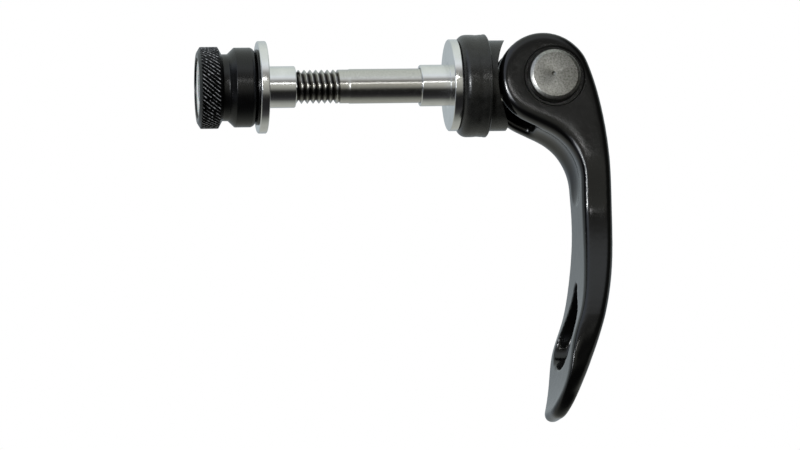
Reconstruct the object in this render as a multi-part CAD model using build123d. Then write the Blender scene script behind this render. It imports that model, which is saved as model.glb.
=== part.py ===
from build123d import *
import math
import os

os.makedirs("parts", exist_ok=True)

# Quick-release cam lever for a bolted clamp. Millimetres. The skewer bolt lies along X, the lever's
# pivot pin along Y, and the closed lever hangs down along -Z. X = 0 is the bearing face of the
# cam-side hat washer, where its sleeve leaves its flange.

# Skewer bolt
shank_diameter = 5.95  # plain shank
thread_step = 0.075  # the thread's crests (M6 x 1) lie this far below the shank
root_step = 0.025  # the end that is screwed into the barrel pin stands this far above the shank
thread_relief = 0.5  # length of the cone between thread and shank
thread_free_length = 24.8  # threaded length from the bolt's free end
bolt_point = 0.8  # chamfer on the free end
bolt_end_recess = 0.6  # how far the bolt stops short of the nut's outer face
bolt_engagement = 3.4  # how far the bolt's other end passes the pin's axis

# Running and seating clearances, on the radius
bolt_in_pin = 0.02
bolt_in_hat = 0.09
bolt_in_saddle = 0.22
bolt_in_nut = 0.08
pin_in_ear = 0.06
ring_in_nut = 0.02
cam_gap = 0.15  # between the closed cam and the saddle's hollow
fork_side_gap = 0.6  # between the bolt and the side of the lever's slot

# Hat washers
flange_diameter = 15.85
flange_thickness = 1.5
flange_chamfer = 0.2
sleeve_wall = 0.585  # 7.3 over the sleeve, for the 8 mm hole of a clamp's lug
sleeve_length = 5.1
sleeve_chamfer = 0.3
clamp_gap = 31.65  # between the two flanges' bearing faces at rest

# Saddle washer
saddle_disc_diameter = 17.7
saddle_disc_thickness = 4.95
saddle_shoulder = 1.5  # rounding of the rim on the hat washer's side
saddle_lip = 0.35  # rounding of the rim on the cam's side
saddle_waist_depth = 0.12
saddle_waist_width = 1.9
saddle_boss_diameter = 15.7
saddle_hollow_depth = 1.3  # from the disc's cam side to the hollow's deepest line
saddle_hollow_radius = 13.0
saddle_horn_height = 3.65  # of the boss above the disc's cam side

# Barrel pin
pin_diameter = 9.2
pin_length = 16.3
pin_chamfer = 0.75
pin_dimple_diameter = 1.2
pin_dimple_depth = 0.5

# Lever: eye and fork
cam_radius = 8.05
cam_throw = 1.5  # from the pin's axis to the cam's centre, towards the saddle
cam_droop = 0.15  # the cam's centre lies this far below the pin's axis
eye_width = 14.0
ear_recess_rim = 0.45  # the recess is this much wider than the pin, on the radius
ear_recess_depth = 0.4
cam_leave_angle = 20.0  # where the outer face leaves the cam, degrees up from +X
slot_floor_radius = 7.2  # bottom of the slot, about the pin
slot_end_back = 2.6  # from the slot's lower end back to the pin's axis
slot_open_below = 4.2  # height of the slot's far mouth under the pin's axis

# Lever: blade, seen from the side
lever_drop = 58.6  # from the pin's axis to the tip
blade_reach = 9.22  # from the pin's axis to the outer face at its furthest
stem_thickness = 5.2
web_slope = 26.6  # of the underside between cam and bend, degrees
bend_radius = 9.6  # of the inside of the bend

# Lever: blade, seen from the front
stem_width = 11.9
paddle_width = 21.2
tip_width = 17.6
blade_rounding = 1.2

# Lever: hollows
bend_scoop_depth = 0.7
bend_scoop_width = 7.6
pocket_rim = 3.2
pocket_floor = 1.9  # wall left behind the finger pocket
pocket_top_width = 2.0

# Thumb nut, from its outer face to its collar
nut_face_diameter = 12.2
knurl_diameter = 14.0
knurl_length = 2.95
knurl_chamfer = 0.55
knurl_back_chamfer = 0.7
nut_neck_diameter = 11.45
nut_neck_length = 0.9
nut_cone_length = 1.15
nut_drum_diameter = 13.65
nut_drum_length = 2.95
nut_shoulder_length = 0.7
nut_shoulder_diameter = 12.1
collar_diameter = 13.0
collar_length = 0.4

# Lock ring
ring_diameter = 10.4
ring_length = 1.6
ring_in_thread = 0.05  # room between the ring's bore and the thread's crests

# Diameters that follow from the shank
thread_diameter = shank_diameter - 2 * thread_step
bolt_root_diameter = shank_diameter + 2 * root_step
sleeve_diameter = shank_diameter + 2 * (bolt_in_hat + sleeve_wall)

# Stack along the skewer
saddle_x = flange_thickness
disc_face_x = saddle_x + saddle_disc_thickness
hollow_x = disc_face_x + saddle_hollow_depth
cam_x = hollow_x + cam_gap + cam_radius
pivot_x = cam_x + cam_throw
nut_flange_x = -clamp_gap - flange_thickness
nut_length = (
    knurl_length + knurl_back_chamfer + knurl_chamfer + nut_neck_length + nut_cone_length
    + nut_drum_length + nut_shoulder_length + collar_length
)
nut_face_x = nut_flange_x - nut_length
bolt_start_x = nut_face_x + bolt_end_recess
thread_end_x = bolt_start_x + thread_free_length


def disc(diameter, start, end):
    """A round bar along X from start to end."""
    face = Plane.YZ.offset(start) * Circle(diameter / 2)
    return extrude(face, end - start)


def turned(*points):
    """A solid of revolution about X from (x, radius) points."""
    outline = Polyline(*[(x, radius) for x, radius in points], close=True)
    return revolve(make_face(outline), Axis.X)


def skewer_bolt():
    """Threaded free end, plain shank and the end screwed into the pin."""
    thread_r = thread_diameter / 2
    shank_r = shank_diameter / 2
    root_r = bolt_root_diameter / 2
    pin_face_x = pivot_x - pin_diameter / 2
    end_x = pivot_x + bolt_engagement
    return turned(
        (bolt_start_x, 0),
        (bolt_start_x, thread_r - bolt_point),
        (bolt_start_x + bolt_point, thread_r),
        (thread_end_x, thread_r),
        (thread_end_x + thread_relief, shank_r),
        (pin_face_x, shank_r),
        (pin_face_x, root_r),
        (end_x - bolt_point, root_r),
        (end_x, root_r - bolt_point),
        (end_x, 0),
    )


def barrel_pin():
    """Cross pin that carries the lever, tapped through for the bolt."""
    pin = Cylinder(pin_diameter / 2, pin_length, rotation=(90, 0, 0))
    pin = chamfer(pin.edges().filter_by(GeomType.CIRCLE), pin_chamfer)
    for side in (-1, 1):
        dimple = Cone(0.05, pin_dimple_diameter / 2, pin_dimple_depth, rotation=(-90 * side, 0, 0))
        pin -= Pos(0, side * (pin_length - pin_dimple_depth) / 2, 0) * dimple
    hole = bolt_root_diameter + 2 * bolt_in_pin
    return Pos(pivot_x, 0, 0) * pin - disc(hole, pivot_x - pin_diameter, pivot_x + pin_diameter)


def hat_washer(face_x, side):
    """Flange and sleeve. The sleeve leaves the bearing face at face_x towards side, +1 or -1."""
    flange_r = flange_diameter / 2
    sleeve_r = sleeve_diameter / 2
    bore_r = shank_diameter / 2 + bolt_in_hat
    return turned(
        (face_x - side * flange_thickness, bore_r + flange_chamfer),
        (face_x - side * flange_thickness, flange_r - flange_chamfer),
        (face_x - side * (flange_thickness - flange_chamfer), flange_r),
        (face_x - side * flange_chamfer, flange_r),
        (face_x, flange_r - flange_chamfer),
        (face_x, sleeve_r),
        (face_x + side * (sleeve_length - sleeve_chamfer), sleeve_r),
        (face_x + side * sleeve_length, sleeve_r - sleeve_chamfer),
        (face_x + side * sleeve_length, bore_r),
        (face_x - side * (flange_thickness - flange_chamfer), bore_r),
    )


def saddle_washer():
    """Moulded disc with a boss, hollowed along Y to take the cam."""
    disc_r = saddle_disc_diameter / 2
    waist_x = saddle_x + saddle_disc_thickness / 2 + saddle_shoulder / 2
    waist = saddle_waist_width / 2
    with BuildSketch() as section:
        with BuildLine():
            Line((saddle_x, 0), (saddle_x, disc_r - saddle_shoulder))
            RadiusArc(
                (saddle_x, disc_r - saddle_shoulder), (saddle_x + saddle_shoulder, disc_r), saddle_shoulder
            )
            Line((saddle_x + saddle_shoulder, disc_r), (waist_x - waist, disc_r))
            ThreePointArc(
                (waist_x - waist, disc_r), (waist_x, disc_r - saddle_waist_depth), (waist_x + waist, disc_r)
            )
            Line((waist_x + waist, disc_r), (disc_face_x - saddle_lip, disc_r))
            RadiusArc((disc_face_x - saddle_lip, disc_r), (disc_face_x, disc_r - saddle_lip), saddle_lip)
            Line((disc_face_x, disc_r - saddle_lip), (disc_face_x, 0))
            Line((disc_face_x, 0), (saddle_x, 0))
        make_face()
    body = revolve(section.sketch, Axis.X)
    body += disc(saddle_boss_diameter, disc_face_x, disc_face_x + saddle_horn_height)
    hollow = Cylinder(saddle_hollow_radius, 2 * saddle_disc_diameter, rotation=(90, 0, 0))
    body -= Pos(hollow_x + saddle_hollow_radius, 0, 0) * hollow
    bore = shank_diameter + 2 * bolt_in_saddle
    return body - disc(bore, saddle_x - 1, disc_face_x + saddle_horn_height + 1)


def knurled_ring(start):
    """Outer ring of the thumb nut between its two chamfers."""
    end = start + knurl_chamfer + knurl_length + knurl_back_chamfer
    return turned(
        (start, 0),
        (start, nut_face_diameter / 2),
        (start + knurl_chamfer, knurl_diameter / 2),
        (end - knurl_back_chamfer, knurl_diameter / 2),
        (end, nut_neck_diameter / 2),
        (end, 0),
    )


def thumb_nut():
    """Knurled ring, neck, cone, drum, rounded shoulder and thin collar, with a pocket for the lock ring."""
    neck_x = nut_face_x + knurl_chamfer + knurl_length + knurl_back_chamfer
    cone_x = neck_x + nut_neck_length
    drum_x = cone_x + nut_cone_length
    shoulder_x = drum_x + nut_drum_length
    collar_x = shoulder_x + nut_shoulder_length
    neck_r = nut_neck_diameter / 2
    drum_r = nut_drum_diameter / 2
    shoulder_r = nut_shoulder_diameter / 2
    with BuildSketch() as section:
        with BuildLine():
            Polyline((neck_x, 0), (neck_x, neck_r), (cone_x, neck_r), (drum_x, drum_r), (shoulder_x, drum_r))
            ThreePointArc(
                (shoulder_x, drum_r),
                (shoulder_x + 0.6 * nut_shoulder_length, (drum_r + 0.25 * (shoulder_r - drum_r))),
                (collar_x, shoulder_r),
            )
            Polyline((collar_x, shoulder_r), (collar_x, 0), (neck_x, 0))
        make_face()
    nut = knurled_ring(nut_face_x) + revolve(section.sketch, Axis.X)
    nut += disc(collar_diameter, collar_x, collar_x + collar_length)
    nut -= disc(thread_diameter + 2 * bolt_in_nut, nut_face_x - 1, nut_flange_x + 1)
    return nut - disc(ring_diameter + 2 * ring_in_nut, nut_face_x - 1, nut_face_x + ring_length)


def lock_ring():
    """Nylon ring in the nut's outer face that grips the thread."""
    ring = disc(ring_diameter, nut_face_x, nut_face_x + ring_length)
    return ring - disc(thread_diameter + 2 * ring_in_thread, nut_face_x - 1, nut_face_x + ring_length + 1)


def bend_points():
    """The underside's foot on the cam, where it meets the inside of the bend, and the bend's end."""
    slope = math.radians(web_slope)
    end_x = pivot_x + blade_reach - stem_thickness
    start_x = end_x - bend_radius * (1 - math.sin(slope))
    foot_x = cam_x - cam_radius * math.sin(slope)
    foot_z = -cam_droop - cam_radius * math.cos(slope)
    start_z = foot_z - (start_x - foot_x) * math.tan(slope)
    end_z = start_z - bend_radius * math.cos(slope)
    return (foot_x, foot_z), (start_x, start_z), (end_x, end_z)


def on_cam(angle):
    """A point of the cam's outline, angle in degrees up from +X."""
    turn = math.radians(angle)
    return cam_x + cam_radius * math.cos(turn), -cam_droop + cam_radius * math.sin(turn)


def outer_line(inset=0.0):
    """The blade's outer face, from the cam to below the tip, moved towards the inner face by inset."""
    reach, drop = pivot_x + blade_reach - inset, -lever_drop
    leave_x, leave_z = on_cam(cam_leave_angle)
    leaning = math.radians(cam_leave_angle)
    return Spline(
        (leave_x - inset, leave_z),
        (reach - 0.4, 0.18 * drop),
        (reach, 0.31 * drop),
        (reach - 1.0, 0.58 * drop),
        (reach - 3.45, 0.74 * drop),
        (reach - 6.3, 0.87 * drop),
        (reach - 11.8, 1.06 * drop),
        tangents=[(math.sin(leaning), -math.cos(leaning)), (-0.6, -1)],
    )


def inner_line(start):
    """The blade's inner face, from the end of the bend over the paddle's step to below the tip's lip."""
    reach, drop = pivot_x + blade_reach - stem_thickness, -lever_drop
    return Spline(
        start,
        (reach - 0.1, 0.46 * drop),
        (reach - 0.8, 0.60 * drop),
        (reach - 1.9, 0.695 * drop),
        (reach - 3.7, 0.785 * drop),
        (reach - 4.6, 0.87 * drop),
        (reach - 6.3, 0.96 * drop),
        (reach - 10.8, 1.05 * drop),
        tangents=[(0, -1), (-1, -0.6)],
    )


def lever_side():
    """Side view of the lever: round cam, straight underside, bend, and the blade's two faces."""
    foot, start, end = bend_points()
    middle = math.radians((90 - web_slope) / 2)
    bend_middle = (
        end[0] - bend_radius * (1 - math.cos(middle)),
        end[1] + bend_radius * math.sin(middle),
    )
    with BuildSketch(Plane.XZ) as side:
        with BuildLine():
            Line(foot, start)
            ThreePointArc(start, bend_middle, end)
            inner = inner_line(end)
            outer = outer_line()
            Line(inner @ 1, outer @ 1)
            ThreePointArc(on_cam(cam_leave_angle), on_cam(150), foot)
        make_face()
    return side.sketch


def lever_front():
    """Front view of the lever: wide fork, narrow stem, broad paddle and rounded tip."""
    drop, top = -lever_drop, 2 * cam_radius
    half = [
        (eye_width / 2, 0.22 * drop),
        (stem_width / 2, 0.40 * drop),
        (paddle_width / 2, 0.78 * drop),
        (tip_width / 2, 0.925 * drop),
        (0.25 * tip_width, drop + 0.35),
        (0, drop),
    ]
    with BuildSketch(Plane.YZ) as front:
        with BuildLine():
            Polyline((0, top), (eye_width / 2, top), half[0])
            Spline(*half, tangents=[(0, -1), (-1, 0)])
            mirror(about=Plane.YZ)
        make_face()
    return front.sketch


def fork_slot():
    """Room for the bolt between the ears while the lever swings from closed to fully open."""
    width = bolt_root_diameter + 2 * fork_side_gap
    far = 3 * cam_radius
    entry = Box(far, width, far, align=(Align.MAX, Align.CENTER, Align.MIN))
    mouth = Box(far, width, far, align=(Align.MIN, Align.CENTER, Align.MIN))
    floor = Cylinder(slot_floor_radius, width, rotation=(90, 0, 0))
    slot = Pos(-slot_end_back, 0, -far / 2) * entry + Pos(-slot_end_back, 0, -slot_open_below) * mouth + floor
    return Pos(pivot_x, 0, 0) * slot


def bend_scoop():
    """Shallow oval hollow along the inside of the bend."""
    _, _, end = bend_points()
    centre = (end[0] - bend_radius, 0, end[1])
    half = bend_scoop_width / 2
    with BuildSketch(Plane(centre, x_dir=(1, 0, 0), z_dir=(0, 0, 1))) as section:
        with BuildLine():
            Polyline((bend_radius, half), (0, half), (0, -half), (bend_radius, -half))
            ThreePointArc((bend_radius, -half), (bend_radius + bend_scoop_depth, 0), (bend_radius, half))
        make_face()
    return revolve(section.sketch, Axis(centre, (0, 1, 0)))


def finger_pocket():
    """Leaf-shaped hollow in the paddle's inner face, pointed towards the stem."""
    drop = -lever_drop
    side = paddle_width / 2 - pocket_rim
    outline = [
        (0, 0.60 * drop),
        (pocket_top_width / 2 + 0.5, 0.625 * drop),
        (0.72 * side, 0.70 * drop),
        (side, 0.78 * drop),
        (0, 0.85 * drop),
    ]
    with BuildSketch(Plane.YZ) as front:
        with BuildLine():
            Spline(*outline, tangents=[(1, 0), (-1, 0)])
            mirror(about=Plane.YZ)
        make_face()
    with BuildSketch(Plane.XZ) as side_view:
        with BuildLine():
            floor = outer_line(pocket_floor)
            left = pivot_x - blade_reach
            Polyline(floor @ 1, (left, (floor @ 1).Y), (left, (floor @ 0).Y), floor @ 0)
        make_face()
    return extrude(front.sketch, pivot_x + 2 * blade_reach) & across(side_view.sketch)


def across(face):
    """A prism of a side view, wider than the lever."""
    return Pos(0, paddle_width, 0) * extrude(face, 2 * paddle_width)


def lever():
    """Forged lever: fork with an off-centre round cam, bend, stem and dished paddle."""
    body = across(lever_side()) & extrude(lever_front(), pivot_x + 2 * blade_reach)
    rim = body.edges().filter_by(Axis.X, reverse=True).filter_by(Axis.Y, reverse=True)
    body = fillet(rim, blade_rounding)
    body -= finger_pocket()
    body -= bend_scoop()
    body -= fork_slot()
    axle = Cylinder(pin_diameter / 2 + pin_in_ear, 2 * eye_width, rotation=(90, 0, 0))
    body -= Pos(pivot_x, 0, 0) * axle
    for side in (-1, 1):
        recess = Cylinder(pin_diameter / 2 + ear_recess_rim, 2 * ear_recess_depth, rotation=(90, 0, 0))
        body -= Pos(pivot_x, side * eye_width / 2, 0) * recess
    return body


pieces = {
    "skewer_bolt": skewer_bolt,
    "barrel_pin": barrel_pin,
    "cam_side_hat_washer": lambda: hat_washer(0, -1),
    "nut_side_hat_washer": lambda: hat_washer(-clamp_gap, 1),
    "saddle_washer": saddle_washer,
    "thumb_nut": thumb_nut,
    "lock_ring": lock_ring,
    "lever": lever,
}
if __name__ == "__main__":
    for name, make in pieces.items():
        export_step(make(), f"parts/{name}.step")
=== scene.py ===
import bpy
import math
from mathutils import Matrix, Vector


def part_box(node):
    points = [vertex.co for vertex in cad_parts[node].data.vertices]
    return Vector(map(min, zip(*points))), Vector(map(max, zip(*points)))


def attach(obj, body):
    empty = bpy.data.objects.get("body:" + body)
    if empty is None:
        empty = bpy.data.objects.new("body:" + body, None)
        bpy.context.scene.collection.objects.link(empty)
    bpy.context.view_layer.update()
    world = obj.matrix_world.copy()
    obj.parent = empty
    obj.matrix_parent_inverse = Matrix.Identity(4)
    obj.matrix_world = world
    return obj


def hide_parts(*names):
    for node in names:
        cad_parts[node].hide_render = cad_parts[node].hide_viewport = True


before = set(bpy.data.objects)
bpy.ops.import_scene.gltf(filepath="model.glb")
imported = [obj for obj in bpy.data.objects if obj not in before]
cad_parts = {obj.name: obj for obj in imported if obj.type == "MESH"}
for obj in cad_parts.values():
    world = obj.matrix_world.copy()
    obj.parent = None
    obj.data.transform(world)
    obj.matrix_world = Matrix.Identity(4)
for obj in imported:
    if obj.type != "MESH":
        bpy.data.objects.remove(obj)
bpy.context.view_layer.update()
mm = 0.001  # the frame is in metres, the sizes below are in millimetres


def deselectAll():
    if bpy.context.object and bpy.context.object.mode != "OBJECT":
        bpy.ops.object.mode_set(mode="OBJECT")
    bpy.ops.object.select_all(action="DESELECT")


def wake(piece):
    deselectAll()
    piece.select_set(True)
    bpy.context.view_layer.objects.active = piece


def applyModifier(piece, kind, **settings):
    wake(piece)
    modifier = piece.modifiers.new(kind.lower(), kind)
    for name, value in settings.items():
        setattr(modifier, name, value)
    bpy.ops.object.modifier_apply(modifier=modifier.name)


def softenEdges(piece, width, segments=3, angle=28):
    applyModifier(
        piece, "BEVEL", width=width * mm, segments=segments,
        limit_method="ANGLE", angle_limit=math.radians(angle),
    )


def combine(piece, tool, operation="DIFFERENCE"):
    applyModifier(piece, "BOOLEAN", object=tool, operation=operation, solver="EXACT")
    bpy.data.meshes.remove(tool.data)


def shadeSmooth(piece, angle=30):
    wake(piece)
    bpy.ops.object.shade_smooth_by_angle(angle=math.radians(angle))
    applyModifier(piece, "WEIGHTED_NORMAL", mode="FACE_AREA", weight=50, keep_sharp=True)


def closeMesh(piece, distance=0.002):
    wake(piece)
    bpy.ops.object.mode_set(mode="EDIT")
    bpy.ops.mesh.select_all(action="SELECT")
    bpy.ops.mesh.remove_doubles(threshold=distance * mm)
    bpy.ops.mesh.normals_make_consistent(inside=False)
    bpy.ops.object.mode_set(mode="OBJECT")


# A turned piece: a circle is drawn at the first station and pulled through the others.
# A station is (place along the skewer, radius). A piece with a bore comes back to its first station.
def turnPiece(name, stations, segments=128, bored=True):
    deselectAll()
    startX, startRadius = stations[0]
    bpy.ops.mesh.primitive_circle_add(
        vertices=segments, radius=startRadius * mm, fill_type="NOTHING" if bored else "NGON",
        location=(startX * mm, 0, 0), rotation=(0, math.pi / 2, 0),
    )
    piece = bpy.context.object
    piece.name = name
    bpy.ops.object.transform_apply(location=True, rotation=True, scale=True)
    bpy.ops.object.mode_set(mode="EDIT")
    bpy.ops.mesh.select_all(action="SELECT")
    ends = stations[1:] + [stations[0]] if bored else stations[1:]
    lastX, lastRadius = stations[0]
    for x, radius in ends:
        bpy.ops.mesh.extrude_region_move(TRANSFORM_OT_translate={"value": ((x - lastX) * mm, 0, 0)})
        grow = radius / lastRadius
        bpy.ops.transform.resize(value=(1, grow, grow), center_override=(x * mm, 0, 0))
        lastX, lastRadius = x, radius
    bpy.ops.object.mode_set(mode="OBJECT")
    closeMesh(piece)
    return piece


# Points of an arc for a turned outline, angles in degrees from +X towards the radius.
def arcStations(x, radius, size, start, end, steps):
    turns = [math.radians(start + (end - start) * step / steps) for step in range(steps + 1)]
    return [(x + size * math.cos(turn), radius + size * math.sin(turn)) for turn in turns]


# A V section screwed round the skewer's axis, closed at its ends, as a tool that cuts one groove.
# Along the thread the section stands in the XZ plane, along the knurl in the YZ plane.
def grooveTool(name, apexRadius, outerRadius, halfWidth, start, length, turns, steps, standing):
    deselectAll()
    bpy.ops.mesh.primitive_circle_add(vertices=3, radius=mm, fill_type="NOTHING", location=(0, 0, 0))
    tool = bpy.context.object
    tool.name = name
    # the triangle's first corner is the groove's bottom, the other two lie just outside the metal
    corners = [(0, apexRadius), (-halfWidth, outerRadius), (halfWidth, outerRadius)]
    for vertex, (across, up) in zip(tool.data.vertices, corners):
        place = (start + across, 0, up) if standing else (start, across, up)
        vertex.co = Vector(place) * mm
    applyModifier(
        tool, "SCREW", axis="X", angle=2 * math.pi * turns, screw_offset=length * mm,
        steps=steps, render_steps=steps, iterations=1, use_normal_calculate=True,
    )
    bpy.ops.object.mode_set(mode="EDIT")
    bpy.ops.mesh.select_all(action="SELECT")
    bpy.ops.mesh.fill_holes(sides=4)
    bpy.ops.mesh.select_all(action="SELECT")
    bpy.ops.mesh.normals_make_consistent(inside=False)
    bpy.ops.object.mode_set(mode="OBJECT")
    return tool


def boxOf(node):
    low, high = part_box(node)
    return low / mm, high / mm


def place(piece, body, slot, node, material):
    piece.data.materials.clear()
    piece.data.materials.append(material)
    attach(piece, body)
    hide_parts(node)
    print(piece.name, len(piece.data.polygons), "faces")


studio = {
    "cameraSpot": (-86.65, -521.2, -114.7),
    "azimuth": -8.43,
    "elevation": -9.73,
    "roll": 2.43,
    "lens": 140.6,
    "sensorWidth": 36,
    "floorDrop": 900,
    "floorSize": 6000,
    "floorColour": (0.9, 0.9, 0.9),
    "floorRoughness": 0.9,
    # light met on the way round from straight behind, under the object, to the front and over its top:
    # (degrees from the front, upwards positive, red, green, blue)
    "tent": [
        (-180, 0.385, 0.43, 0.465), (-150, 0.46, 0.47, 0.43), (-119, 0.37, 0.38, 0.35),
        (-100, 0.20, 0.21, 0.19), (-87, 0.06, 0.06, 0.06), (-69, 0.02, 0.02, 0.021),
        (-41, 0.015, 0.015, 0.015), (-32, 0.05, 0.05, 0.045), (-23, 0.24, 0.24, 0.22),
        (-11, 0.40, 0.40, 0.36), (1, 0.52, 0.52, 0.47), (7, 0.50, 0.50, 0.46),
        (13, 0.24, 0.24, 0.22), (18, 0.27, 0.27, 0.26), (26, 0.34, 0.34, 0.33),
        (35, 0.68, 0.70, 0.71), (45, 0.82, 0.87, 0.90), (61, 0.76, 0.81, 0.79),
        (100, 0.70, 0.75, 0.71), (140, 0.57, 0.63, 0.63), (180, 0.385, 0.43, 0.465),
    ],
    # walls of the front half only, by how far they lie to the side: (from, to, colour)
    "walls": [
        (-0.32, -0.46, (0.80, 0.88, 1.02)),
        (-0.72, -0.86, (0.04, 0.04, 0.045)),
        (0.3, 0.6, (0.05, 0.05, 0.045)),
    ],
    "wallFoot": (-0.5, -0.2),  # the walls fade in upwards between these heights
    "frontEdge": (0.12, -0.08),  # and towards the front between these depths
    # a tube lamp across the front
    "tube": {
        "lowest": 7.2,  # degrees up
        "highest": 9.6,
        "edge": 0.4,
        "left": -0.12,  # its ends, to the side
        "right": 0.162,
        "endEdge": 0.004,
        "gap": (0.099, 0.137),  # dark between these
        "gapEdge": 0.005,
        "strength": 9,
    },
    "lamps": [
        # name, place, width, height, watts, colour
        ("leftWindow", (-655, -1000, -84), 370, 500, 4.0, (0.93, 0.97, 1.0)),
        ("leftSpot", (-700, -1000, -10), 70, 130, 3.0, (1.0, 1.0, 1.0)),
    ],
}


def placeCamera():
    azimuth, elevation = math.radians(studio["azimuth"]), math.radians(studio["elevation"])
    roll = math.radians(studio["roll"])
    back = Vector((
        math.sin(azimuth) * math.cos(elevation),
        -math.cos(azimuth) * math.cos(elevation),
        math.sin(elevation),
    ))
    side = Vector((0, 0, 1)).cross(back).normalized()
    upward = back.cross(side)
    across = side * math.cos(roll) - upward * math.sin(roll)
    upright = side * math.sin(roll) + upward * math.cos(roll)
    bpy.ops.object.camera_add(location=Vector(studio["cameraSpot"]) * mm)
    camera = bpy.context.object
    camera.name = "viewCamera"
    camera.rotation_euler = Matrix((across, upright, back)).transposed().to_euler()
    camera.data.lens = studio["lens"]
    camera.data.sensor_width = studio["sensorWidth"]
    bpy.context.scene.camera = camera


def layFloor():
    deselectAll()
    bpy.ops.mesh.primitive_plane_add(
        size=studio["floorSize"] * mm, location=(0, 0, -studio["floorDrop"] * mm),
    )
    floor = bpy.context.object
    floor.name = "floor"
    paint = bpy.data.materials.new("floorPaint")
    paint.use_nodes = True
    shader = paint.node_tree.nodes["Principled BSDF"]
    shader.inputs["Base Color"].default_value = (*studio["floorColour"], 1)
    shader.inputs["Roughness"].default_value = studio["floorRoughness"]
    floor.data.materials.append(paint)
    floor.visible_glossy = False
    floor.visible_diffuse = False


# The sky is plain white to the camera. What the object reflects is a tent, light above and dark
# below, with walls at the sides and a tube lamp in front.
def fillSky():
    world = bpy.data.worlds.new("studioSky")
    bpy.context.scene.world = world
    world.use_nodes = True
    nodes, links = world.node_tree.nodes, world.node_tree.links
    nodes.clear()
    direction = nodes.new("ShaderNodeTexCoord")
    parts = nodes.new("ShaderNodeSeparateXYZ")
    links.new(direction.outputs["Generated"], parts.inputs["Vector"])

    def calculate(kind, first, second):
        node = nodes.new("ShaderNodeMath")
        node.operation = kind
        for socket, value in zip(node.inputs, (first, second)):
            if isinstance(value, (int, float)):
                socket.default_value = value
            else:
                links.new(value, socket)
        return node.outputs["Value"]

    forward = calculate("MULTIPLY", parts.outputs["Y"], -1)
    turn = calculate("ARCTAN2", parts.outputs["Z"], forward)
    around = nodes.new("ShaderNodeMapRange")
    around.inputs["From Min"].default_value = -math.pi
    around.inputs["From Max"].default_value = math.pi
    links.new(turn, around.inputs["Value"])
    tent = nodes.new("ShaderNodeValToRGB")
    stops = tent.color_ramp.elements
    for turnDegrees, *colour in studio["tent"][1:-1]:
        stops.new((turnDegrees + 180) / 360)
    for stop, (turnDegrees, *colour) in zip(stops, studio["tent"]):
        stop.position = (turnDegrees + 180) / 360
        stop.color = (*colour, 1)
    links.new(around.outputs["Result"], tent.inputs["Fac"])

    def blend(value, start, end):
        edge = nodes.new("ShaderNodeMapRange")
        edge.interpolation_type = "SMOOTHSTEP"
        edge.inputs["From Min"].default_value = start
        edge.inputs["From Max"].default_value = end
        links.new(value, edge.inputs["Value"])
        return edge.outputs["Result"]

    front = blend(parts.outputs["Y"], *studio["frontEdge"])
    raised = calculate("MULTIPLY", front, blend(parts.outputs["Z"], *studio["wallFoot"]))
    walled = tent.outputs["Color"]
    for start, end, colour in studio["walls"]:
        mix = nodes.new("ShaderNodeMix")
        mix.data_type = "RGBA"
        covered = calculate("MULTIPLY", raised, blend(parts.outputs["X"], start, end))
        links.new(covered, mix.inputs["Factor"])
        links.new(walled, mix.inputs["A"])
        mix.inputs["B"].default_value = (*colour, 1)
        walled = mix.outputs["Result"]
    tube = studio["tube"]
    low, high, edge = (math.radians(tube[key]) for key in ("lowest", "highest", "edge"))
    lit = calculate("MULTIPLY", blend(turn, low - edge, low + edge), blend(turn, high + edge, high - edge))
    for end, way in ((tube["left"], 1), (tube["right"], -1)):
        soft = way * tube["endEdge"]
        lit = calculate("MULTIPLY", lit, blend(parts.outputs["X"], end - soft, end + soft))
    gapStart, gapEnd = tube["gap"]
    soft = tube["gapEdge"]
    before = blend(parts.outputs["X"], gapStart + soft, gapStart - soft)
    after = blend(parts.outputs["X"], gapEnd - soft, gapEnd + soft)
    lit = calculate("MULTIPLY", lit, calculate("MAXIMUM", before, after))
    glow = nodes.new("ShaderNodeMix")
    glow.data_type = "RGBA"
    glow.blend_type = "ADD"
    glow.inputs["Factor"].default_value = 1
    links.new(walled, glow.inputs["A"])
    links.new(calculate("MULTIPLY", lit, tube["strength"]), glow.inputs["B"])
    reflected = nodes.new("ShaderNodeBackground")
    links.new(glow.outputs["Result"], reflected.inputs["Color"])
    seen = nodes.new("ShaderNodeBackground")
    seen.inputs["Color"].default_value = (1, 1, 1, 1)
    rays = nodes.new("ShaderNodeLightPath")
    choice = nodes.new("ShaderNodeMixShader")
    output = nodes.new("ShaderNodeOutputWorld")
    links.new(rays.outputs["Is Camera Ray"], choice.inputs["Fac"])
    links.new(reflected.outputs["Background"], choice.inputs[1])
    links.new(seen.outputs["Background"], choice.inputs[2])
    links.new(choice.outputs["Shader"], output.inputs["Surface"])


def hangLamps():
    for name, spot, width, height, watts, colour in studio["lamps"]:
        bpy.ops.object.light_add(type="AREA", location=Vector(spot) * mm)
        lamp = bpy.context.object
        lamp.name = name
        lamp.rotation_euler = Vector(spot).to_track_quat("Z", "Y").to_euler()
        lamp.data.shape = "RECTANGLE"
        lamp.data.size, lamp.data.size_y = width * mm, height * mm
        lamp.data.energy = watts
        lamp.data.color = colour
        lamp.visible_camera = False


placeCamera()
layFloor()
fillSky()
hangLamps()
bpy.context.scene.view_settings.view_transform = "Standard"
print("studio ready")


# Shader node groups: each gives out a value that changes over the surface
def newGroup(name, inputs, outputs):
    group = bpy.data.node_groups.new(name, "ShaderNodeTree")
    for label, value in inputs.items():
        socket = group.interface.new_socket(label, in_out="INPUT", socket_type="NodeSocketFloat")
        socket.default_value = value
    for label in outputs:
        group.interface.new_socket(label, in_out="OUTPUT", socket_type="NodeSocketFloat")
    return group, group.nodes.new("NodeGroupInput"), group.nodes.new("NodeGroupOutput")


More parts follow.
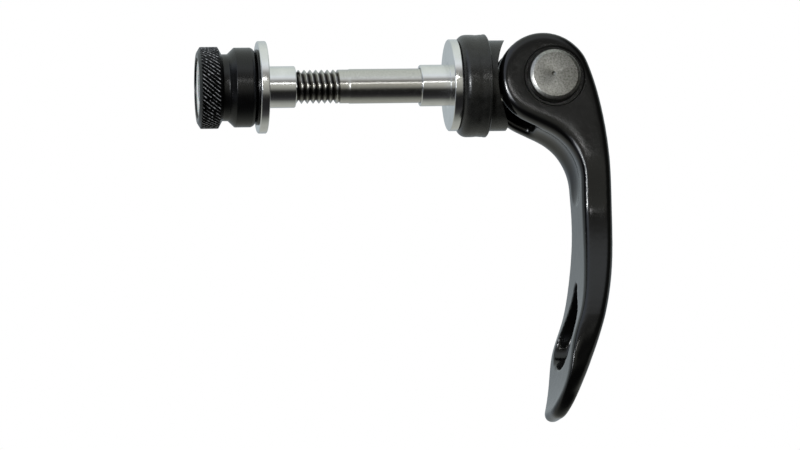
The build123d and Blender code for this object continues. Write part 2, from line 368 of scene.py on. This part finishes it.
# Noise in the space of the piece. Size is the width of a grain in millimetres.
def makeGrain():
    group, given, result = newGroup("grain", {"Size": 0.3, "Detail": 2.0, "Contrast": 1.0}, ["Value"])
    nodes, links = group.nodes, group.links
    spot = nodes.new("ShaderNodeTexCoord")
    scale = nodes.new("ShaderNodeMath")
    scale.operation = "DIVIDE"
    scale.inputs[0].default_value = 1 / mm
    links.new(given.outputs["Size"], scale.inputs[1])
    noise = nodes.new("ShaderNodeTexNoise")
    links.new(spot.outputs["Object"], noise.inputs["Vector"])
    links.new(scale.outputs["Value"], noise.inputs["Scale"])
    links.new(given.outputs["Detail"], noise.inputs["Detail"])
    shift = nodes.new("ShaderNodeMath")
    shift.operation = "SUBTRACT"
    shift.inputs[1].default_value = 0.5
    links.new(noise.outputs["Fac"], shift.inputs[0])
    spread = nodes.new("ShaderNodeMath")
    spread.operation = "MULTIPLY_ADD"
    spread.inputs[2].default_value = 0.5
    spread.use_clamp = True
    links.new(shift.outputs["Value"], spread.inputs[0])
    links.new(given.outputs["Contrast"], spread.inputs[1])
    links.new(spread.outputs["Value"], result.inputs["Value"])
    return group


# Fine rings that a lathe's tool leaves round the skewer's axis. Pitch is in millimetres.
def makeTurningMarks():
    group, given, result = newGroup("turningMarks", {"Pitch": 0.08, "Waver": 0.1}, ["Value"])
    nodes, links = group.nodes, group.links
    spot = nodes.new("ShaderNodeTexCoord")
    parts = nodes.new("ShaderNodeSeparateXYZ")
    links.new(spot.outputs["Object"], parts.inputs["Vector"])
    flat = nodes.new("ShaderNodeCombineXYZ")
    links.new(parts.outputs["Y"], flat.inputs["Y"])
    links.new(parts.outputs["Z"], flat.inputs["Z"])
    radius = nodes.new("ShaderNodeVectorMath")
    radius.operation = "LENGTH"
    links.new(flat.outputs["Vector"], radius.inputs[0])
    rings = nodes.new("ShaderNodeCombineXYZ")
    links.new(parts.outputs["X"], rings.inputs["X"])
    links.new(radius.outputs["Value"], rings.inputs["Y"])
    drift = nodes.new("ShaderNodeVectorMath")
    drift.operation = "SCALE"
    links.new(flat.outputs["Vector"], drift.inputs[0])
    links.new(given.outputs["Waver"], drift.inputs["Scale"])
    joined = nodes.new("ShaderNodeVectorMath")
    joined.operation = "ADD"
    links.new(rings.outputs["Vector"], joined.inputs[0])
    links.new(drift.outputs["Vector"], joined.inputs[1])
    scale = nodes.new("ShaderNodeMath")
    scale.operation = "DIVIDE"
    scale.inputs[0].default_value = 1 / mm
    links.new(given.outputs["Pitch"], scale.inputs[1])
    noise = nodes.new("ShaderNodeTexNoise")
    noise.inputs["Detail"].default_value = 3
    links.new(joined.outputs["Vector"], noise.inputs["Vector"])
    links.new(scale.outputs["Value"], noise.inputs["Scale"])
    links.new(noise.outputs["Fac"], result.inputs["Value"])
    return group


# How far a point is from the skewer's axis: 0 inside the first radius, 1 outside the second.
# Both overlays paint light and shade by it. On the bolt the thread grooves are kept darker, a painted shade;
# on the nut the knurl's crests are lighter, painted glints together with wear to bare metal.
def makeRadiusMask():
    group, given, result = newGroup(
        "paintedShadeGlintAndWearMask", {"From": 2.5, "To": 2.9, "Speckle": 0.2, "Breakup": 0.0}, ["Value"],
    )
    nodes, links = group.nodes, group.links
    spot = nodes.new("ShaderNodeTexCoord")
    flatten = nodes.new("ShaderNodeVectorMath")
    flatten.operation = "MULTIPLY"
    flatten.inputs[1].default_value = (0, 1 / mm, 1 / mm)
    links.new(spot.outputs["Object"], flatten.inputs[0])
    radius = nodes.new("ShaderNodeVectorMath")
    radius.operation = "LENGTH"
    links.new(flatten.outputs["Vector"], radius.inputs[0])
    speckle = nodes.new("ShaderNodeGroup")
    speckle.node_tree = grain
    speckle.inputs["Contrast"].default_value = 3
    links.new(given.outputs["Speckle"], speckle.inputs["Size"])
    edge = nodes.new("ShaderNodeMapRange")
    links.new(radius.outputs["Value"], edge.inputs["Value"])
    links.new(given.outputs["From"], edge.inputs["From Min"])
    links.new(given.outputs["To"], edge.inputs["From Max"])
    missing = nodes.new("ShaderNodeMath")
    missing.operation = "MULTIPLY"
    links.new(speckle.outputs["Value"], missing.inputs[0])
    links.new(given.outputs["Breakup"], missing.inputs[1])
    left = nodes.new("ShaderNodeMath")
    left.operation = "SUBTRACT"
    left.use_clamp = True
    links.new(edge.outputs["Result"], left.inputs[0])
    links.new(missing.outputs["Value"], left.inputs[1])
    links.new(left.outputs["Value"], result.inputs["Value"])
    return group


grain = makeGrain()
turningMarks = makeTurningMarks()
paintedShadeGlintAndWearMask = makeRadiusMask()


# A finish is the shader's own sockets plus layers of grain or turning marks that drive
# the colour, the roughness and the bump.
def makeFinish(name, sockets, colours=None, roughness=None, bumps=(), overlay=None):
    material = bpy.data.materials.new(name)
    material.use_nodes = True
    nodes, links = material.node_tree.nodes, material.node_tree.links
    shader = nodes["Principled BSDF"]
    for socket, value in sockets.items():
        shader.inputs[socket].default_value = value

    def layer(kind, values):
        node = nodes.new("ShaderNodeGroup")
        node.node_tree = kind
        for socket, value in values.items():
            node.inputs[socket].default_value = value
        return node.outputs["Value"]

    if colours:
        kind, values, dark, light = colours
        mix = nodes.new("ShaderNodeMix")
        mix.data_type = "RGBA"
        mix.inputs["A"].default_value = (*dark, 1)
        mix.inputs["B"].default_value = (*light, 1)
        links.new(layer(kind, values), mix.inputs["Factor"])
        colour = mix.outputs["Result"]
        if overlay:
            kind, values, over = overlay
            cover = nodes.new("ShaderNodeMix")
            cover.data_type = "RGBA"
            links.new(layer(kind, values), cover.inputs["Factor"])
            cover.inputs["B"].default_value = (*over, 1)
            links.new(colour, cover.inputs["A"])
            colour = cover.outputs["Result"]
        links.new(colour, shader.inputs["Base Color"])
    if roughness:
        kind, values, low, high = roughness
        spread = nodes.new("ShaderNodeMapRange")
        spread.inputs["To Min"].default_value = low
        spread.inputs["To Max"].default_value = high
        links.new(layer(kind, values), spread.inputs["Value"])
        links.new(spread.outputs["Result"], shader.inputs["Roughness"])
    normal = None
    for kind, values, height, strength in bumps:
        bump = nodes.new("ShaderNodeBump")
        bump.inputs["Distance"].default_value = height * mm
        bump.inputs["Strength"].default_value = strength
        links.new(layer(kind, values), bump.inputs["Height"])
        if normal:
            links.new(normal, bump.inputs["Normal"])
        normal = bump.outputs["Normal"]
    if normal:
        links.new(normal, shader.inputs["Normal"])
    return material


leverPaint = makeFinish(
    "leverPaint",
    {"Specular IOR Level": 0.5},
    colours=(grain, {"Size": 6, "Contrast": 2}, (0.0015, 0.0015, 0.0016), (0.0035, 0.0035, 0.0033)),
    roughness=(grain, {"Size": 3, "Detail": 4, "Contrast": 2}, 0.1, 0.18),
    bumps=(
        (grain, {"Size": 1.1, "Detail": 1}, 0.03, 0.4),
        (grain, {"Size": 0.18, "Detail": 2}, 0.012, 0.5),
    ),
)
nutAnodised = makeFinish(
    "nutAnodised",
    {"Specular IOR Level": 0.45},
    colours=(grain, {"Size": 1.5, "Detail": 4, "Contrast": 2}, (0.001, 0.001, 0.001), (0.003, 0.003, 0.0032)),
    # the overlay lightens the knurl's crests in spots: painted glints on the crests, together with wear to
    # bare metal
    overlay=(paintedShadeGlintAndWearMask, {"From": 6.9, "To": 7.0, "Speckle": 0.4, "Breakup": 1.3}, (0.42, 0.42, 0.43)),
    roughness=(turningMarks, {"Pitch": 0.15}, 0.16, 0.34),
    bumps=(
        (turningMarks, {"Pitch": 0.12}, 0.01, 0.3),
        (grain, {"Size": 0.22, "Detail": 3}, 0.012, 0.45),
    ),
)
saddlePlastic = makeFinish(
    "saddlePlastic",
    {"Specular IOR Level": 0.5},
    colours=(grain, {"Size": 1.2, "Detail": 5, "Contrast": 2}, (0.008, 0.008, 0.0072), (0.02, 0.0195, 0.018)),
    roughness=(grain, {"Size": 0.5, "Detail": 3, "Contrast": 2}, 0.16, 0.36),
    bumps=(
        (grain, {"Size": 0.6, "Detail": 2}, 0.03, 0.45),
        (grain, {"Size": 0.18, "Detail": 3}, 0.02, 0.6),
    ),
)
hatAluminium = makeFinish(
    "hatAluminium",
    {"Metallic": 1.0},
    colours=(grain, {"Size": 2.5, "Detail": 4, "Contrast": 2}, (0.74, 0.745, 0.74), (0.86, 0.86, 0.855)),
    roughness=(turningMarks, {"Pitch": 0.1}, 0.1, 0.2),
    bumps=((turningMarks, {"Pitch": 0.07}, 0.006, 0.3), (grain, {"Size": 0.25, "Detail": 3}, 0.003, 0.3)),
)
boltPlate = makeFinish(
    "boltPlate",
    {"Metallic": 1.0},
    colours=(grain, {"Size": 1.8, "Detail": 5, "Contrast": 2}, (0.08, 0.077, 0.07), (0.11, 0.106, 0.097)),
    # the overlay makes crests and shank light and leaves the thread grooves dark: a painted shade in the
    # grooves
    overlay=(paintedShadeGlintAndWearMask, {"From": 2.35, "To": 2.86, "Speckle": 0.3, "Breakup": 0.1}, (0.62, 0.61, 0.58)),
    roughness=(grain, {"Size": 0.8, "Detail": 4, "Contrast": 2}, 0.12, 0.24),
    bumps=((turningMarks, {"Pitch": 0.1}, 0.002, 0.3), (grain, {"Size": 0.3, "Detail": 4}, 0.004, 0.3)),
)
pinPlate = makeFinish(
    "pinPlate",
    {"Metallic": 1.0},
    colours=(grain, {"Size": 0.3, "Detail": 5, "Contrast": 2}, (0.15, 0.15, 0.136), (0.47, 0.465, 0.44)),
    roughness=(grain, {"Size": 0.4, "Detail": 4, "Contrast": 2}, 0.28, 0.4),
    bumps=((grain, {"Size": 0.22, "Detail": 4}, 0.01, 0.5), (grain, {"Size": 1.6, "Detail": 2}, 0.01, 0.4)),
)
ringNylon = makeFinish(
    "ringNylon",
    {"Subsurface Weight": 0.1, "Subsurface Scale": 0.001},
    colours=(grain, {"Size": 1.0, "Detail": 3, "Contrast": 2}, (0.74, 0.74, 0.72), (0.86, 0.86, 0.84)),
    roughness=(grain, {"Size": 0.6, "Detail": 3, "Contrast": 2}, 0.35, 0.55),
    bumps=((turningMarks, {"Pitch": 0.2}, 0.02, 0.4),),
)
print("materials ready")


boltLow, boltHigh = boxOf("skewer_bolt")
pinLow, pinHigh = boxOf("barrel_pin")
nutLow, nutHigh = boxOf("thumb_nut")
ringLow, ringHigh = boxOf("lock_ring")
saddleLow, saddleHigh = boxOf("saddle_washer")
pivotX = (pinLow.x + pinHigh.x) / 2

bolt = {
    "threadRadius": 2.9,
    "shankRadius": 2.975,
    "rootRadius": 3.0,
    "point": 0.5,
    "endNearer": 0.2,
    "threadEnd": 24.8,  # from the free end
    "runOut": 0.9,
    "shankCone": 0.12,
    "rootCone": 0.02,
    "pitch": 1.0,
    "threadDepth": 0.62,
    "grooveHalfWidth": 0.46,
    "grooveLift": 0.03,  # the groove's tool stands this far out of the metal
    "lead": 0.29,  # the thread ends this much nearer to its free end
    "stepsPerTurn": 48,
    "fadeSlices": 12,
    "fadeGrowth": 1.022,
}


def makeBolt():
    free, far = boltLow.x - bolt["endNearer"], boltHigh.x
    threadEnd = free + bolt["threadEnd"]
    shankStart = threadEnd + bolt["runOut"]
    piece = turnPiece("skewerBoltTurned", [
        (free, bolt["threadRadius"] - bolt["point"]),
        (free + bolt["point"], bolt["threadRadius"]),
        (threadEnd, bolt["threadRadius"]),
        (shankStart, bolt["threadRadius"]),
        (shankStart + bolt["shankCone"], bolt["shankRadius"]),
        (pinLow.x, bolt["shankRadius"]),
        (pinLow.x + bolt["rootCone"], bolt["rootRadius"]),
        (far - bolt["point"], bolt["rootRadius"]),
        (far, bolt["rootRadius"] - bolt["point"]),
    ], segments=96, bored=False)
    turns = round(bolt["threadEnd"] / bolt["pitch"]) + 1
    start = threadEnd - turns * bolt["pitch"] - bolt["lead"]
    lift = bolt["grooveLift"]
    tool = grooveTool(
        "threadTool", bolt["threadRadius"] - bolt["threadDepth"], bolt["threadRadius"] + lift,
        bolt["grooveHalfWidth"] + lift, start, turns * bolt["pitch"], turns,
        turns * bolt["stepsPerTurn"], True,
    )
    # the groove climbs out of the metal over its last turn
    slices, growth = bolt["fadeSlices"], bolt["fadeGrowth"]
    bpy.ops.object.mode_set(mode="EDIT")
    for step in range(slices):
        bpy.ops.mesh.select_all(action="DESELECT")
        bpy.ops.object.mode_set(mode="OBJECT")
        edge = (threadEnd - bolt["lead"] - bolt["pitch"] * (1 - step / slices)) * mm
        for vertex in tool.data.vertices:
            vertex.select = vertex.co.x > edge
        bpy.ops.object.mode_set(mode="EDIT")
        bpy.ops.transform.resize(value=(1, growth, growth), center_override=(0, 0, 0))
    bpy.ops.object.mode_set(mode="OBJECT")
    combine(piece, tool)
    closeMesh(piece, 0.001)
    shadeSmooth(piece, 35)
    place(piece, "skewer", "plated_bolt", "skewer_bolt", boltPlate)


makeBolt()


# Turned along Y through the pivot, out to the side
def turnAcross(name, stations, side=1, segments=96, bored=True):
    piece = turnPiece(name, stations, segments, bored)
    wake(piece)
    piece.rotation_euler = (0, 0, side * math.pi / 2)
    piece.location = (pivotX * mm, 0, 0)
    bpy.ops.object.transform_apply(location=True, rotation=True, scale=True)
    return piece


pin = {
    "chamferIn": 0.75,
    "chamferBack": 0.95,
    "cornerIn": 0.2,  # the chamfer is broken in two
    "cornerBack": 0.3,
    "centre": 0.05,  # radius of the circle that each end face starts from
    "dimpleOffset": (-0.35, 0.1),
    "dimpleRadius": 0.5,
    "dimplePoint": 0.06,
    "dimpleDepth": 0.35,
    "punchLift": 0.1,
    "holeRadius": 3.02,
    "edgeRounding": 0.06,
}


def makePin():
    half, radius = (pinHigh.y - pinLow.y) / 2, (pinHigh.x - pinLow.x) / 2
    inward, back = pin["chamferIn"], pin["chamferBack"]
    outline = [
        (-half, pin["centre"]),
        (-half, radius - inward),
        (-half + pin["cornerBack"], radius - pin["cornerIn"]),
        (-half + back, radius),
    ]
    outline += [(-x, r) for x, r in reversed(outline)]
    piece = turnAcross("barrelPinTurned", outline, segments=128, bored=False)
    hole = turnPiece("pinHole", [
        (pivotX - 2 * radius, pin["holeRadius"]), (pivotX + 2 * radius, pin["holeRadius"]),
    ], segments=64, bored=False)
    combine(piece, hole)
    # a punch mark in each face, a little off the middle
    across, up = pin["dimpleOffset"]
    for side in (-1, 1):
        punch = turnAcross("punch", [
            (half - pin["dimpleDepth"], pin["dimplePoint"]),
            (half + pin["punchLift"], pin["dimpleRadius"]),
        ], side, segments=32, bored=False)
        wake(punch)
        bpy.ops.transform.translate(value=(across * mm, 0, up * mm))
        bpy.ops.object.transform_apply(location=True, rotation=True, scale=True)
        combine(piece, punch)
    softenEdges(piece, pin["edgeRounding"], segments=2, angle=20)
    shadeSmooth(piece, 25)
    place(piece, "skewer", "plated_pin", "barrel_pin", pinPlate)


makePin()

hat = {
    "flangeThickness": 1.5,
    "flangeRadius": 7.925,
    "frontChamfer": 0.12,
    "backChamfer": 0.16,
    "sleeveRadius": 3.58,
    "sleeveLength": 5.0,
    "sleeveChamfer": 0.14,
    "rootGroove": 0.08,
    "rootGrooveFloor": 0.2,  # its width at the bottom, then at the face
    "rootGrooveMouth": 0.35,
    "boreRadius": 3.065,
    "boreBackChamfer": 0.2,
    "boreTipChamfer": 0.08,
    "edgeRounding": 0.035,
}


# The sleeve leaves the bearing face towards side, +1 or -1
def makeHat(name, node, body, side):
    low, high = boxOf(node)
    face = high.x - hat["flangeThickness"] if side < 0 else low.x + hat["flangeThickness"]
    back = face - side * hat["flangeThickness"]
    tip = face + side * hat["sleeveLength"]
    flange, sleeve, bore = hat["flangeRadius"], hat["sleeveRadius"], hat["boreRadius"]
    backChamfer, tipChamfer = hat["boreBackChamfer"], hat["boreTipChamfer"]
    piece = turnPiece(name, [
        (back, bore + backChamfer),
        (back, flange - hat["backChamfer"]),
        (back + side * hat["backChamfer"], flange),
        (face - side * hat["frontChamfer"], flange),
        (face, flange - hat["frontChamfer"]),
        (face, sleeve + hat["rootGrooveMouth"]),
        (face - side * hat["rootGroove"], sleeve + hat["rootGrooveFloor"]),
        (face - side * hat["rootGroove"], sleeve),
        (tip - side * hat["sleeveChamfer"], sleeve),
        (tip, sleeve - hat["sleeveChamfer"]),
        (tip, bore + tipChamfer),
        (tip - side * tipChamfer, bore),
        (back + side * backChamfer, bore),
    ])
    softenEdges(piece, hat["edgeRounding"], segments=2)
    shadeSmooth(piece, 25)
    place(piece, body, "turned_aluminium", node, hatAluminium)


makeHat("camSideHat", "cam_side_hat_washer", "cam_hat", -1)
makeHat("nutSideHat", "nut_side_hat_washer", "nut_hat", 1)

saddle = {
    "discRadius": 8.85,
    "discThickness": 4.95,
    "shoulder": 1.5,
    "shoulderSteps": 10,
    "faceRing": 0.35,  # a ring this far inside the shoulder keeps the face flat
    "waistDepth": 0.06,
    "waistWidth": 1.6,
    "waistSteps": 8,
    "flash": 0.07,
    "flashStart": 0.5,  # this and the next two are measured back from the disc's cam side
    "flashTop": 0.43,
    "flashEnd": 0.15,
    "cornerCut": 0.12,
    "bossRadius": 7.85,
    "hollowDepth": 0.95,
    "hollowRadius": 13.0,
    "hornTrim": 0.25,
    "faceGap": 0.03,
    "drop": 0.17,  # it hangs on the bolt with its clearance all above
    "boreRadius": 3.195,
    "cornerRounding": 0.22,
}


def makeSaddle():
    start, end = saddleLow.x + saddle["faceGap"], saddleHigh.x - saddle["hornTrim"]
    disc, shoulder, bore = saddle["discRadius"], saddle["shoulder"], saddle["boreRadius"]
    discFace = start + saddle["discThickness"]
    flash = saddle["flash"]
    waist = start + shoulder + (saddle["discThickness"] - shoulder) * 0.5
    half, depth = saddle["waistWidth"] / 2, saddle["waistDepth"]
    boss, cut = saddle["bossRadius"], saddle["cornerCut"]
    outline = [(start, bore), (start, disc - shoulder - saddle["faceRing"])]
    outline += arcStations(
        start + shoulder, disc - shoulder, shoulder, 180, 90, saddle["shoulderSteps"],
    )
    for step in range(saddle["waistSteps"] + 1):
        along = step / saddle["waistSteps"]
        sink = depth * math.sin(math.pi * along) ** 2
        outline.append((waist - half + 2 * half * along, disc - sink))
    outline += [
        (discFace - saddle["flashStart"], disc),
        (discFace - saddle["flashTop"], disc + flash),
        (discFace - saddle["flashEnd"], disc + flash),
        (discFace, disc - cut),
        (discFace, boss + cut),
        (discFace + cut, boss),
        (end, boss),
        (end, bore),
    ]
    piece = turnPiece("saddleMoulded", outline)
    radius = saddle["hollowRadius"]
    deselectAll()
    bpy.ops.mesh.primitive_cylinder_add(
        vertices=256, radius=radius * mm, depth=40 * mm, rotation=(math.pi / 2, 0, 0),
        location=((discFace + saddle["hollowDepth"] + radius) * mm, 0, 0),
    )
    combine(piece, bpy.context.object)
    closeMesh(piece, 0.001)
    softenEdges(piece, saddle["cornerRounding"], segments=3, angle=40)
    wake(piece)
    bpy.ops.transform.translate(value=(0, 0, -saddle["drop"] * mm))
    bpy.ops.object.transform_apply(location=True, rotation=True, scale=True)
    shadeSmooth(piece, 32)
    place(piece, "saddle", "saddle_plastic", "saddle_washer", saddlePlastic)


makeSaddle()

nut = {
    "ringPocketRadius": 5.22,
    "ringPocketDepth": 1.6,
    "boreRadius": 2.98,
    "faceRadius": 6.1,
    "knurlRadius": 7.0,
    "faceChamfer": 0.55,
    "knurlLength": 2.95,
    "backChamfer": 0.7,
    "neckRadius": 5.725,
    "neckLength": 1.0,
    "coneLength": 1.15,
    "drumRadius": 6.825,
    "drumLength": 2.75,
    "shoulderLength": 0.85,
    "shoulderRadius": 5.85,
    "shoulderRounding": ((0.45, 0.2), (0.8, 0.6)),  # (share of its length, share of its drop)
    "collarRadius": 6.5,
    "collarStep": 0.06,
    "knurlCount": 60,
    "knurlDepth": 0.32,
    "knurlSlant": 40,
    "knurlSteps": 8,
    "knurlOverrun": 0.25,  # the grooves run this far into each chamfer
    "grooveLift": 0.045,  # the groove's tool stands this far out of the metal
    "knurlLand": 0.012,
    "edgeRounding": 0.07,
}


def makeNut():
    face, end = nutLow.x, nutHigh.x
    knurlStart = face + nut["faceChamfer"]
    knurlEnd = knurlStart + nut["knurlLength"]
    neckStart = knurlEnd + nut["backChamfer"]
    coneStart = neckStart + nut["neckLength"]
    drumStart = coneStart + nut["coneLength"]
    drumEnd = drumStart + nut["drumLength"]
    shoulderEnd = drumEnd + nut["shoulderLength"]
    drop = nut["drumRadius"] - nut["shoulderRadius"]
    piece = turnPiece("thumbNutTurned", [
        (face, nut["ringPocketRadius"]),
        (face, nut["faceRadius"]),
        (knurlStart, nut["knurlRadius"]),
        (knurlEnd, nut["knurlRadius"]),
        (neckStart, nut["neckRadius"]),
        (coneStart, nut["neckRadius"]),
        (drumStart, nut["drumRadius"]),
        (drumEnd, nut["drumRadius"]),
        *[
            (drumEnd + along * nut["shoulderLength"], nut["drumRadius"] - down * drop)
            for along, down in nut["shoulderRounding"]
        ],
        (shoulderEnd, nut["shoulderRadius"]),
        (shoulderEnd + nut["collarStep"], nut["collarRadius"]),
        (end, nut["collarRadius"]),
        (end, nut["boreRadius"]),
        (face + nut["ringPocketDepth"], nut["boreRadius"]),
        (face + nut["ringPocketDepth"], nut["ringPocketRadius"]),
    ], segments=180)
    softenEdges(piece, nut["edgeRounding"], segments=2, angle=25)
    over, lift = nut["knurlOverrun"], nut["grooveLift"]
    length = nut["knurlLength"] + 2 * over
    turns = math.tan(math.radians(nut["knurlSlant"])) * length / nut["knurlRadius"] / (2 * math.pi)
    tool = grooveTool(
        "knurlTool", nut["knurlRadius"] - nut["knurlDepth"], nut["knurlRadius"] + lift,
        nut["knurlDepth"] + lift - nut["knurlLand"], knurlStart - over, length, turns,
        nut["knurlSteps"], False,
    )
    bpy.ops.object.mode_set(mode="EDIT")
    bpy.ops.mesh.select_all(action="SELECT")
    count = nut["knurlCount"]
    bpy.ops.mesh.spin(
        steps=count - 1, dupli=True, angle=2 * math.pi * (count - 1) / count,
        center=(0, 0, 0), axis=(1, 0, 0),
    )
    bpy.ops.mesh.select_all(action="SELECT")
    bpy.ops.mesh.normals_make_consistent(inside=False)
    bpy.ops.object.mode_set(mode="OBJECT")
    print("knurl tool", len(tool.data.polygons), "faces")
    combine(piece, tool)
    closeMesh(piece, 0.001)
    shadeSmooth(piece, 25)
    place(piece, "nut", "nut_anodised", "thumb_nut", nutAnodised)


makeNut()

ring = {
    "boreRadius": 3.3,
    "radius": 5.2,
    "recess": 0.32,  # behind the nut's face
    "boreChamfer": 0.15,
    "rimChamfer": 0.1,
    "edgeRounding": 0.03,
}


def makeRing():
    start, end = ringLow.x + ring["recess"], ringHigh.x
    boreChamfer, rimChamfer = ring["boreChamfer"], ring["rimChamfer"]
    piece = turnPiece("lockRingTurned", [
        (start, ring["boreRadius"] + boreChamfer),
        (start, ring["radius"] - rimChamfer),
        (start + rimChamfer, ring["radius"]),
        (end, ring["radius"]),
        (end, ring["boreRadius"]),
        (start + boreChamfer, ring["boreRadius"]),
    ], segments=96)
    softenEdges(piece, ring["edgeRounding"], segments=2)
    shadeSmooth(piece, 28)
    place(piece, "nut", "ring_nylon", "lock_ring", ringNylon)


makeRing()

lever = {
    "voxel": 0.25,
    "recessRadius": 5.2,
    "recessDepth": 0.5,
    "recessLip": 0.12,
    "lipInset": 0.05,
    "boreRadius": 4.66,
    "boreInside": 1,
    "cutOutside": 12,  # the ears' tools end out here
    "earInside": 3.6,
    "earOutside": 6.95,
    "plugMargin": 0.6,  # the ears' plugs are this much wider than the recess
    "plugInset": 0.3,
    "smoothing": 0.5,
    "evenPasses": 5,
    "eyePasses": 55,
    "stemPasses": 70,
    "eyeReach": 14,  # from the pivot
    "eyeFade": 4,
    "earFade": (3.8, 5.0),  # out from the middle
    "outerShare": 0.25,  # of the smoothing, left on the eye's outer side
    "stemFade": (-12, -17),
    "stemStart": (4, 9),  # below the pivot
    "outerSide": (22.3, 0.18),  # where it lies beside the pivot, and its slope below that
    "innerFade": (1.2, -0.8),
    "sliceHeight": 0.5,
    "sliceMargin": 2,
    "slicePasses": 4,
    "crownFrom": (-42, -49),
    "crownTip": (0.6, 3.5),  # above the tip
    "crownSides": (5.5, 8.5),  # out from the middle
    "crownDepth": 1.3,
    "crownStart": 0.08,  # share of the thickness
    "crownPower": 1.2,
    "edgeRounding": 1.2,
    "edgeShare": 0.6,
    "edgeKept": (0.05, 0.3),
}


# A weight over the piece, worked out from each point's place in millimetres
def weighPoints(piece, name, weigh):
    group = piece.vertex_groups.new(name=name)
    for vertex in piece.data.vertices:
        weight = weigh(*(vertex.co / mm))
        if weight > 0.01:
            group.add([vertex.index], min(weight, 1), "REPLACE")
    return group.name


def fade(value, start, end):
    return min(max((value - start) / (end - start), 0), 1)


def addPlug(radius, inside, outside, side, name):
    return turnAcross(name, [(inside, radius), (outside, radius)], side, bored=False)


# The thumb paddle's back is crowned: its sides lean in from the thumb face to the back.
# The thumb face keeps a tight edge, where the forging is only lightly broken.
def crownPaddle(piece):
    step = lever["sliceHeight"]
    slices = {}
    for vertex in piece.data.vertices:
        x, z = vertex.co.x / mm, vertex.co.z / mm
        if z < lever["crownFrom"][0] + lever["sliceMargin"]:
            key = round(z / step)
            low, high = slices.get(key, (x, x))
            slices[key] = (min(low, x), max(high, x))

    for evening in range(lever["slicePasses"]):
        slices = {
            key: tuple(
                (slices.get(key - 1, pair)[side] + 2 * pair[side] + slices.get(key + 1, pair)[side]) / 4
                for side in (0, 1)
            )
            for key, pair in slices.items()
        }

    def faces(z):
        key = math.floor(z / step)
        part = z / step - key
        first, second = slices.get(key), slices.get(key + 1)
        if not first or not second:
            return None
        inside = first[0] + (second[0] - first[0]) * part
        outside = first[1] + (second[1] - first[1]) * part
        lean = math.hypot(1, (second[0] - first[0]) / step)
        return inside, (outside - inside) / lean, lean

    bottom = min(vertex.co.z for vertex in piece.data.vertices) / mm
    tipStart, tipEnd = lever["crownTip"]
    rounding = lever["edgeRounding"]
    for vertex in piece.data.vertices:
        x, y, z = vertex.co / mm
        amount = fade(z, *lever["crownFrom"]) * fade(z, bottom + tipStart, bottom + tipEnd)
        found = faces(z) if amount > 0 else None
        if not found:
            continue
        inside, thick, lean = found
        deep = max((x - inside) / lean, 0)
        drop = 0
        if deep < rounding:
            drop = rounding - math.sqrt(max(rounding ** 2 - (rounding - deep) ** 2, 0))
            drop *= lever["edgeShare"] * fade(deep, *lever["edgeKept"])
        outward = fade(abs(y), *lever["crownSides"])
        inward = lever["crownDepth"] * fade(deep / thick, lever["crownStart"], 1) ** lever["crownPower"]
        y += math.copysign(1, y) * amount * outward * (drop - inward)
        vertex.co.y = y * mm


def makeLever():
    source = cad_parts["lever"]
    wake(source)
    bpy.ops.object.duplicate()
    piece = bpy.context.object
    piece.name = "leverForged"
    for key in list(piece.keys()):  # the copy keeps none of the frame's own marks
        del piece[key]
    piece.parent = None
    closeMesh(piece, 0.003)
    print("lever copy", len(piece.data.polygons), "faces")
    # the ears are filled while the edges are rounded, and bored again afterwards
    plugRadius = lever["recessRadius"] + lever["plugMargin"]
    plugInside = lever["earInside"] + lever["plugInset"]
    for side in (-1, 1):
        plug = addPlug(plugRadius, plugInside, lever["earOutside"], side, "earPlug")
        combine(piece, plug, "UNION")
    applyModifier(piece, "REMESH", mode="VOXEL", voxel_size=lever["voxel"] * mm, adaptivity=0)
    print("lever remeshed", len(piece.data.polygons), "faces")
    applyModifier(piece, "SMOOTH", factor=lever["smoothing"], iterations=lever["evenPasses"])
    eyeReach, eyeFade, stemFade = lever["eyeReach"], lever["eyeFade"], lever["stemFade"]
    outerX, outerSlope = lever["outerSide"]

    def innerSide(x, z):
        return fade(x - outerX + outerSlope * min(z, 0), *lever["innerFade"])

    def nearEye(x, y, z):
        reach = math.hypot(x - pivotX, z)
        near = fade(abs(y), *lever["earFade"]) * fade(reach, eyeReach, eyeReach - eyeFade)
        return near * max(innerSide(x, z), lever["outerShare"])

    def alongStem(x, y, z):
        return fade(z, stemFade[1], stemFade[0]) * fade(-z, *lever["stemStart"]) * innerSide(x, z)

    for name, weigh, passes in (
        ("eyeEdges", nearEye, lever["eyePasses"]),
        ("stemEdges", alongStem, lever["stemPasses"]),
    ):
        group = weighPoints(piece, name, weigh)
        applyModifier(piece, "SMOOTH", factor=lever["smoothing"], iterations=passes, vertex_group=group)
    crownPaddle(piece)
    applyModifier(piece, "SMOOTH", factor=lever["smoothing"], iterations=1)
    ear, recess, lip = lever["earOutside"], lever["recessRadius"], lever["recessLip"]
    outside, inset = lever["cutOutside"], lever["lipInset"]
    for side in (-1, 1):
        combine(piece, addPlug(recess, ear - lever["recessDepth"], outside, side, "earRecess"))
        combine(piece, turnAcross("earLip", [
            (ear - lip, recess - inset),
            (ear - lip, recess),
            (ear + 2 * lip, recess + 3 * lip),
            (ear + 2 * lip, recess - inset),
        ], side))
        combine(piece, addPlug(lever["boreRadius"], lever["boreInside"], outside, side, "earBore"))
    piece.vertex_groups.clear()
    shadeSmooth(piece, 40)
    place(piece, "lever", "lever_paint", "lever", leverPaint)


makeLever()
